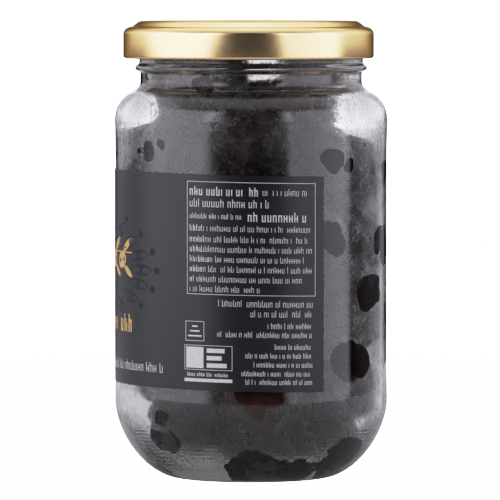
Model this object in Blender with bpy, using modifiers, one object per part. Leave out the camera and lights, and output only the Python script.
"""A glass jar packed with dry-cured black olives, under a twist-off steel lid, with a wrap label.

Metres, +Z up. The origin is on the jar's axis, in the plane it stands on. The front is -Y.
A turn is an angle about the axis, in degrees, from the front towards +X.
"""

import math
import random

import bmesh
import bpy
import numpy as np
from mathutils import Matrix, Vector

# Jar body, a straight glass cylinder with a panel for the label
BODY_RADIUS = 0.0374
PANEL_DEPTH = 0.0004
PANEL_BOTTOM = 0.0250
PANEL_TOP = 0.0890
BODY_TOP = 0.0982
HEEL_TOP = 0.0212
WALL = 0.0024

# Foot: the flat ring that the jar stands on, and the push-up inside it
FOOT_OUTER = 0.0203
FOOT_INNER = 0.0180
PUSH_UP = 0.0018
FLOOR_HEIGHT = 0.0034
FLOOR_RADIUS = 0.0160

# Neck, transfer bead and finish
NECK_RADIUS = 0.0304
NECK_BOTTOM = 0.1080
BEAD_RADIUS = 0.0318
BEAD_HEIGHT = 0.1124
FINISH_RADIUS = 0.0307
RIM_HEIGHT = 0.1237
MOUTH_RADIUS = 0.0282

# Twist-off lid, pressed from sheet steel
LID_SHIFT = -0.0007
LID_RADIUS = 0.0344
LID_SHEET = 0.0005
LID_TOP = 0.1252
LID_BOTTOM = 0.1149
LID_PANEL = 0.1236
LID_BUTTON = 0.1231
CURL_RADIUS = 0.0008
LUG_REACH = 0.0320
LUG_COUNT = 4
LUG_ANGLE = 22.0
LUG_TURN = -30.0

# Wrap label, a thin sheet that ends on the right of the front and leaves a gap there
LABEL_BOTTOM = 0.0259
LABEL_TOP = 0.0840
LABEL_END_TURN = 31.5
LABEL_ANGLE = 276.0
LABEL_THICKNESS = 0.00015
LABEL_GAP = 0.00025
LABEL_LEAN = 0.020

# Olives, in ranges of half length and half width, and how deep they are pressed on the glass
OLIVE_HALF_LONG = (0.0106, 0.0126)
OLIVE_HALF_WIDE = (0.0087, 0.0099)
WALL_OLIVES = 51
INNER_OLIVES = 8
OLIVE_SEED = 7
WALL_PRESS = (0.0, 0.0007)
PILE_TOP = 0.1080
CORE_RADIUS = 0.0225
CORE_TOP = 0.1000

# Turn, height and press of the olives that show at a known place, most of them flat on the glass
PRESSED_OLIVES = (
    (3.0, 0.0115, 0.0020),
    (-44.0, 0.0190, 0.0015),
    (53.0, 0.0150, 0.0018),
    (2.0, 0.0260, 0.0017),
    (49.0, 0.0330, 0.0020),
    (63.0, 0.0515, 0.0014),
    (79.0, 0.0650, 0.0019),
    (38.0, 0.0670, 0.0005),
    (41.0, 0.0875, 0.0005),
    (0.0, 0.0920, -0.0004),
    (-50.0, 0.0910, 0.0005),
    (93.0, 0.0440, 0.0017),
    (94.0, 0.0230, 0.0017),
)

# Turn, height and depth behind the inner wall of the air pockets, which hold no olive
AIR_POCKETS = (
    (60.0, 0.0980, 0.0020),
    (76.0, 0.0940, 0.0020),
    (90.0, 0.0970, 0.0030),
    (104.0, 0.0940, 0.0020),
    (120.0, 0.0980, 0.0020),
    (-58.0, 0.1040, 0.0020),
    (-90.0, 0.1040, 0.0020),
    (-122.0, 0.1040, 0.0020),
    (3.0, 0.1150, 0.0030),
    (0.0, 0.1145, 0.0280),
    (178.0, 0.1140, 0.0030),
    (-86.0, 0.0150, 0.0020),
    (-100.0, 0.0170, 0.0020),
    (84.0, 0.0130, 0.0020),
    (98.0, 0.0150, 0.0020),
    (88.0, 0.0335, 0.0020),
    (84.0, 0.0760, 0.0020),
)
POCKET_SIZE = 0.0056

GAP = 0.0003
STEPS = 44
MERGE = 0.00001

# Room left for the wall's flat sides, and for the bend of the shoulder between its rings
WALL_CHORD = 0.00026
SHOULDER_ROOM = 0.0024


def clear_scene():
    """Removes what the open file holds, so that the script can be run again."""
    for old in list(bpy.data.objects):
        bpy.data.objects.remove(old, do_unlink=True)


def collection(name):
    """A new collection in the scene."""
    made = bpy.data.collections.new(name)
    bpy.context.scene.collection.children.link(made)
    return made


def finish(name, colour, roughness, metallic=0.0, transmission=0.0):
    """A Principled material with the part's colour."""
    made = bpy.data.materials.new(name)
    made.use_nodes = True
    shader = made.node_tree.nodes["Principled BSDF"]
    shader.inputs["Base Color"].default_value = (*colour, 1.0)
    shader.inputs["Roughness"].default_value = roughness
    shader.inputs["Metallic"].default_value = metallic
    shader.inputs["Transmission Weight"].default_value = transmission
    made.diffuse_color = (*colour, 1.0)
    return made


def arc(centre_r, centre_z, half_r, half_z, start, end, count, power=2.0):
    """Points (radius, height) on an oval arc between two angles, rounder or squarer by its power."""
    points = []
    for i in range(count + 1):
        angle = math.radians(start + (end - start) * i / count)
        c, s = math.cos(angle), math.sin(angle)
        r = math.copysign(abs(c) ** (2.0 / power), c) * half_r
        z = math.copysign(abs(s) ** (2.0 / power), s) * half_z
        points.append((centre_r + r, centre_z + z))
    return points


def profile_object(name, points, turn=0.0):
    """An open outline in the plane through the axis at one turn, ready for a Screw modifier."""
    mesh = bpy.data.meshes.new(name)
    shape = bmesh.new()
    angle = math.radians(turn - 90.0)
    corners = [
        shape.verts.new((r * math.cos(angle), r * math.sin(angle), z)) for r, z in points
    ]
    for upper, lower in zip(corners, corners[1:]):
        shape.edges.new((upper, lower))
    shape.to_mesh(mesh)
    shape.free()
    return bpy.data.objects.new(name, mesh)


def screw(piece, angle=360.0, steps=STEPS):
    """Turns an outline about the Z axis."""
    made = piece.modifiers.new("turned", "SCREW")
    made.axis = "Z"
    made.angle = math.radians(angle)
    made.steps = steps
    made.render_steps = steps
    made.use_merge_vertices = angle == 360.0
    made.merge_threshold = MERGE
    made.use_smooth_shade = True
    return made


def settle(piece):
    """Puts a piece's modifiers into its mesh."""
    graph = bpy.context.evaluated_depsgraph_get()
    mesh = bpy.data.meshes.new_from_object(piece.evaluated_get(graph))
    piece.modifiers.clear()
    old = piece.data
    piece.data = mesh
    bpy.data.meshes.remove(old)


def smooth(piece, angle=35.0):
    """Shades a round piece smooth, with its edges kept sharp."""
    piece.data.shade_smooth()
    piece.data.set_sharp_from_angle(angle=math.radians(angle))


def cavity_radius(z):
    """Radius of the jar's inside at a height: heel, straight wall, shoulder and neck."""
    inner = BODY_RADIUS - WALL
    if z < HEEL_TOP:
        rise = max(0.0, (HEEL_TOP - z) / (HEEL_TOP - FLOOR_HEIGHT))
        return FLOOR_RADIUS + (inner - FLOOR_RADIUS) * max(0.0, 1.0 - rise**1.7) ** (1 / 1.7)
    if z > BODY_TOP - WALL:
        rise = (z - BODY_TOP + WALL) / (NECK_BOTTOM - BODY_TOP)
        drop = (inner - MOUTH_RADIUS) * (1.0 - math.sqrt(max(0.0, 1.0 - rise * rise)))
        return max(MOUTH_RADIUS, inner - drop)
    return inner


def jar_outline():
    """The jar's section, up its inside from the floor's middle, over the rim and down its outside."""
    heights = [FLOOR_HEIGHT + (HEEL_TOP - FLOOR_HEIGHT) * (i / 6) ** 1.6 for i in range(1, 7)]
    inside = [(0.0, FLOOR_HEIGHT + 0.0008), (FLOOR_RADIUS, FLOOR_HEIGHT)]
    inside += [(cavity_radius(z), z) for z in heights]
    shoulder_steps = [math.sin(math.pi / 2 * i / 5) for i in range(6)]
    shoulder = [BODY_TOP - WALL + (NECK_BOTTOM - BODY_TOP) * step for step in shoulder_steps]
    inside += [(cavity_radius(z), z) for z in shoulder]
    mouth_corner = 0.0006
    inside.append((MOUTH_RADIUS, RIM_HEIGHT - mouth_corner))
    rim = [(MOUTH_RADIUS + mouth_corner, RIM_HEIGHT)]
    rim += arc(FINISH_RADIUS - 0.0012, RIM_HEIGHT - 0.0012, 0.0012, 0.0012, 90, 0, 2)
    bead = [(FINISH_RADIUS, BEAD_HEIGHT + 0.0013)]
    bead += arc(BEAD_RADIUS - 0.0009, BEAD_HEIGHT, 0.0009, 0.0009, 75, -75, 3)
    neck = [(NECK_RADIUS, BEAD_HEIGHT - 0.0014), (NECK_RADIUS, NECK_BOTTOM)]
    outer_shoulder = arc(0.0290, BODY_TOP, BODY_RADIUS - 0.0290, 0.0085, 68, 0, 5)
    panel_radius = BODY_RADIUS - PANEL_DEPTH
    step = 0.0008
    panel = [
        (BODY_RADIUS, PANEL_TOP + step),
        (panel_radius, PANEL_TOP),
        (panel_radius, PANEL_BOTTOM),
        (BODY_RADIUS, PANEL_BOTTOM - step),
    ]
    heel = arc(FOOT_OUTER, HEEL_TOP, BODY_RADIUS - FOOT_OUTER, HEEL_TOP, 0, -90, 7, 1.72)
    foot = [(FOOT_INNER, 0.0), (FOOT_INNER - 0.0012, 0.0011), (0.0, PUSH_UP)]
    return inside + rim + bead + neck + outer_shoulder + panel + heel + foot


def build_jar(target, material):
    """The glass jar, one turned wall from the rim to the push-up."""
    jar = profile_object("jar_glass", jar_outline())
    target.objects.link(jar)
    screw(jar)
    settle(jar)
    smooth(jar)
    jar.data.materials.clear()
    jar.data.materials.append(material)
    return jar


def lid_outline():
    """The lid's section: its outside from the middle to the curl, then back along its inside."""
    ring_inner = 0.0268
    ring_outer = 0.0295
    outside = [
        (0.0, LID_BUTTON),
        (0.0110, LID_BUTTON),
        (0.0125, LID_PANEL),
        (0.0256, LID_PANEL),
        (ring_inner, LID_TOP),
        (ring_outer, LID_TOP),
        (0.0308, LID_TOP - 0.0009),
        (0.0310, LID_TOP - 0.0015),
    ]
    outside += arc(LID_RADIUS - 0.0027, LID_TOP - 0.0035, 0.0027, 0.0018, 84, 0, 3)
    curl_r = LID_RADIUS - CURL_RADIUS
    curl_z = LID_BOTTOM + CURL_RADIUS
    outside += arc(curl_r, curl_z, CURL_RADIUS, CURL_RADIUS, 0, -210, 4)
    skirt_inside = LID_RADIUS - LID_SHEET
    seal = RIM_HEIGHT + GAP + 0.00005
    inside = [
        (skirt_inside, curl_z + 0.0009),
        (skirt_inside, LID_TOP - 0.0032),
        (0.0330, LID_TOP - 0.0024),
        (0.0302, seal - 0.0001),
        (ring_inner + 0.0003, seal),
        (0.0260, LID_PANEL - LID_SHEET),
        (0.0123, LID_PANEL - LID_SHEET),
        (0.0112, LID_BUTTON - LID_SHEET),
        (0.0, LID_BUTTON - LID_SHEET),
    ]
    return outside + inside


def lug(number):
    """One of the folds in the curl that would hold under the jar's thread."""
    curl_z = LID_BOTTOM + CURL_RADIUS
    skirt_middle = LID_RADIUS - LID_SHEET / 2
    section = [
        (skirt_middle, curl_z + 0.0012),
        (skirt_middle, curl_z),
        (LUG_REACH + 0.0004, LID_BOTTOM + 0.0003),
        (LUG_REACH, curl_z),
        (LUG_REACH + 0.0004, curl_z + 0.0006),
        (skirt_middle, curl_z + 0.0012),
    ]
    turn = LUG_TURN + number * 360.0 / LUG_COUNT - LUG_ANGLE / 2
    piece = profile_object(f"lug_{number}", section, turn)
    bpy.context.scene.collection.objects.link(piece)
    screw(piece, LUG_ANGLE, 4)
    settle(piece)
    shape = bmesh.new()
    shape.from_mesh(piece.data)
    bmesh.ops.remove_doubles(shape, verts=shape.verts, dist=MERGE)
    ends = [edge for edge in shape.edges if edge.is_boundary]
    bmesh.ops.holes_fill(shape, edges=ends, sides=0)
    bmesh.ops.recalc_face_normals(shape, faces=shape.faces)
    shape.to_mesh(piece.data)
    shape.free()
    return piece


def fuse(body, pieces):
    """Joins pieces to a body with one Boolean union, and removes them."""
    cutters = collection("pieces_to_fuse")
    for piece in pieces:
        for owner in list(piece.users_collection):
            owner.objects.unlink(piece)
        cutters.objects.link(piece)
    union = body.modifiers.new("fused", "BOOLEAN")
    union.operation = "UNION"
    union.operand_type = "COLLECTION"
    union.collection = cutters
    settle(body)
    for piece in pieces:
        bpy.data.objects.remove(piece, do_unlink=True)
    bpy.data.collections.remove(cutters)


def keep_outer_skin(piece):
    """Drops loose scraps and the skins of sealed hollows, and keeps the one outer skin."""
    shape = bmesh.new()
    shape.from_mesh(piece.data)
    bmesh.ops.remove_doubles(shape, verts=shape.verts, dist=MERGE)
    bmesh.ops.dissolve_degenerate(shape, edges=shape.edges, dist=MERGE)
    left = set(shape.faces)
    largest = set()
    while left:
        island = {left.pop()}
        front = list(island)
        while front:
            face = front.pop()
            for edge in face.edges:
                for other in edge.link_faces:
                    if other in left:
                        left.remove(other)
                        island.add(other)
                        front.append(other)
        if len(island) > len(largest):
            largest = island
    spare = [face for face in shape.faces if face not in largest]
    bmesh.ops.delete(shape, geom=spare, context="FACES")
    shape.to_mesh(piece.data)
    shape.free()


def build_lid(target, material):
    """The twist-off lid: recessed panel, raised ring, stepped shoulder, skirt, curl and lugs."""
    lid = profile_object("lid", lid_outline())
    target.objects.link(lid)
    screw(lid)
    settle(lid)
    fuse(lid, [lug(number) for number in range(LUG_COUNT)])
    keep_outer_skin(lid)
    lid.data.transform(Matrix.Translation((LID_SHIFT, 0.0, 0.0)))
    smooth(lid)
    lid.data.materials.clear()
    lid.data.materials.append(material)
    return lid


def build_label(target, material):
    """The wrap label, a sheet on the panel whose edges lean a little, as it was stuck on."""
    middle = BODY_RADIUS - PANEL_DEPTH + LABEL_GAP + LABEL_THICKNESS / 2
    start = LABEL_END_TURN - LABEL_ANGLE
    outline = [(middle, LABEL_TOP), (middle, LABEL_BOTTOM)]
    label = profile_object("label", outline, start)
    target.objects.link(label)
    screw(label, LABEL_ANGLE, round(STEPS * LABEL_ANGLE / 360.0))
    sheet = label.modifiers.new("sheet", "SOLIDIFY")
    sheet.thickness = LABEL_THICKNESS
    sheet.offset = 0.0
    settle(label)
    for vertex in label.data.vertices:
        vertex.co.z -= LABEL_LEAN * vertex.co.x
    smooth(label, 60.0)
    label.data.materials.clear()
    label.data.materials.append(material)
    return label


def olive_places():
    """Centre, long axis, half length and half width of each olive.

    Olives on the wall lie flat against it and slide along it, inner ones fill the middle, and all are
    pushed apart from a seeded start until they only touch. Those at a known place stay there, and the
    pockets stay empty.
    """
    draw = random.Random(OLIVE_SEED)
    count = WALL_OLIVES + INNER_OLIVES
    fixed = len(PRESSED_OLIVES)
    longs = np.array([draw.uniform(*OLIVE_HALF_LONG) for _ in range(count)])
    wides = np.array([draw.uniform(*OLIVE_HALF_WIDE) for _ in range(count)])
    presses = np.array([draw.uniform(*WALL_PRESS) for _ in range(count)])
    turns = np.array([draw.uniform(-180.0, 180.0) for _ in range(count)])
    heights = np.array([draw.uniform(FLOOR_HEIGHT, PILE_TOP) for _ in range(count)])
    leans = np.array([draw.uniform(0.0, math.pi) for _ in range(count)])
    for i, (turn, height, press) in enumerate(PRESSED_OLIVES):
        turns[i] = turn
        heights[i] = height
        presses[i] = press
    on_wall = np.arange(count) < WALL_OLIVES
    reach = np.where(on_wall, BODY_RADIUS - WALL, 0.0100)
    angles = np.radians(turns - 90.0)
    places = np.stack([reach * np.cos(angles), reach * np.sin(angles), heights], axis=1)
    for _ in range(400):
        axes = olive_axes(places, leans, on_wall)
        places = places + pushes(places, axes, longs, wides, fixed)
        for i in range(count):
            places[i] = inside_jar(places[i], wides[i], presses[i], on_wall[i])
    return places, olive_axes(places, leans, on_wall), longs, wides


def olive_axes(places, leans, on_wall):
    """Unit vectors along the olives: in the plane that touches the wall, or leaning inwards."""
    out = places[:, :2] / np.maximum(np.linalg.norm(places[:, :2], axis=1, keepdims=True), 1e-6)
    inward = np.where(on_wall, 0.12, 0.7) * np.sin(leans * 5.0)
    along = np.stack(
        [
            -out[:, 1] * np.cos(leans) + out[:, 0] * inward,
            out[:, 0] * np.cos(leans) + out[:, 1] * inward,
            np.sin(leans),
        ],
        axis=1,
    )
    return along / np.linalg.norm(along, axis=1, keepdims=True)


def on_cavity(turn, height, inset):
    """A point at a turn from the front and a height, set in from the inner wall."""
    angle = math.radians(turn - 90.0)
    reach = cavity_radius(height) - inset
    return reach * math.cos(angle), reach * math.sin(angle), height


def pushes(places, axes, longs, wides, fixed):
    """How far each olive moves in one step, away from those that it overlaps and from the pockets."""
    apart = places[:, None, :] - places[None, :, :]
    distance = np.linalg.norm(apart, axis=2)
    np.fill_diagonal(distance, 1.0)
    way = apart / np.maximum(distance, 1e-6)[:, :, None]
    lean = np.einsum("ijk,ik->ij", way, axes) ** 2
    own = 1.0 / np.sqrt(lean / longs[:, None] ** 2 + (1.0 - lean) / wides[:, None] ** 2)
    overlap = np.maximum(0.0, (own + own.T) * 0.93 - distance)
    step = np.einsum("ijk,ij->ik", way, overlap) * 0.35
    for pocket in AIR_POCKETS:
        away = places - np.array(on_cavity(*pocket))
        reach = np.linalg.norm(away, axis=1)
        lean = (np.einsum("ij,ij->i", away, axes) / reach) ** 2
        own = 1.0 / np.sqrt(lean / longs**2 + (1.0 - lean) / wides**2)
        step += away / reach[:, None] * np.maximum(0.0, own + POCKET_SIZE - reach)[:, None] * 0.35
    step[:fixed] = 0.0
    return step


def inside_jar(place, wide, press, on_wall):
    """The place moved so that the olive lies on the wall, or off it, and above the floor."""
    x, y, z = place
    z = min(max(z, FLOOR_HEIGHT + wide), PILE_TOP)
    most = cavity_radius(max(z - wide * 0.45, FLOOR_HEIGHT + 0.001)) - wide + press
    if z > BODY_TOP - wide:
        most = min(most, cavity_radius(z + wide * 0.4) - wide + press)
    if not on_wall:
        most = 0.0145
    radius = math.hypot(x, y)
    if radius > most or on_wall:
        x, y = x * most / max(radius, 1e-6), y * most / max(radius, 1e-6)
    return np.array([x, y, z])


def olive_solid(number, centre, axis, half_long, half_wide):
    """One olive with few sides, pressed flat where it meets the glass."""
    shape = bmesh.new()
    bmesh.ops.create_icosphere(shape, subdivisions=2, radius=1.0)
    lie = Vector(axis).to_track_quat("X", "Z").to_matrix().to_4x4()
    size = Matrix.Diagonal((half_long, half_wide, half_wide, 1.0))
    shape.transform(Matrix.Translation(centre) @ lie @ size)
    for vertex in shape.verts:
        vertex.co.z = max(vertex.co.z, FLOOR_HEIGHT + 0.0008 + GAP)
        above = SHOULDER_ROOM if vertex.co.z > BODY_TOP - WALL else 0.0
        most = cavity_radius(vertex.co.z + above) - GAP - WALL_CHORD
        radius = math.hypot(vertex.co.x, vertex.co.y)
        if radius > most:
            vertex.co.x *= most / radius
            vertex.co.y *= most / radius
    mesh = bpy.data.meshes.new("olive")
    shape.to_mesh(mesh)
    shape.free()
    piece = bpy.data.objects.new(f"olive_{number}", mesh)
    bpy.context.scene.collection.objects.link(piece)
    return piece


def build_olives(target, material):
    """The heap: a smaller core, with the olives that show fused on."""
    core_bottom = FLOOR_HEIGHT + 0.0060
    bpy.ops.mesh.primitive_cylinder_add(
        vertices=16,
        radius=CORE_RADIUS,
        depth=CORE_TOP - core_bottom,
        location=(0.0, 0.0, (CORE_TOP + core_bottom) / 2),
    )
    heap = bpy.context.object
    heap.name = "olives"
    heap.data.transform(Matrix.Translation(heap.location))
    heap.location = (0.0, 0.0, 0.0)
    for owner in list(heap.users_collection):
        owner.objects.unlink(heap)
    target.objects.link(heap)
    places, axes, longs, wides = olive_places()
    pieces = []
    for i, centre in enumerate(places):
        hidden = i >= WALL_OLIVES and centre[2] < PILE_TOP - 0.008
        if not hidden:
            pieces.append(olive_solid(i, centre, axes[i], longs[i], wides[i]))
    fuse(heap, pieces)
    keep_outer_skin(heap)
    smooth(heap, 50.0)
    heap.data.materials.clear()
    heap.data.materials.append(material)
    return heap


def main():
    clear_scene()
    parts = collection("jar_of_olives")
    glass = finish("clear_glass", (0.93, 0.95, 0.94), 0.03, 0.0, 1.0)
    gold = finish("gold_lacquered_steel", (0.80, 0.62, 0.33), 0.25, 1.0)
    paper = finish("charcoal_label", (0.045, 0.043, 0.052), 0.45)
    skin = finish("black_olive_skin", (0.018, 0.012, 0.014), 0.38)
    build_jar(parts, glass)
    build_lid(parts, gold)
    build_label(parts, paper)
    build_olives(parts, skin)


main()
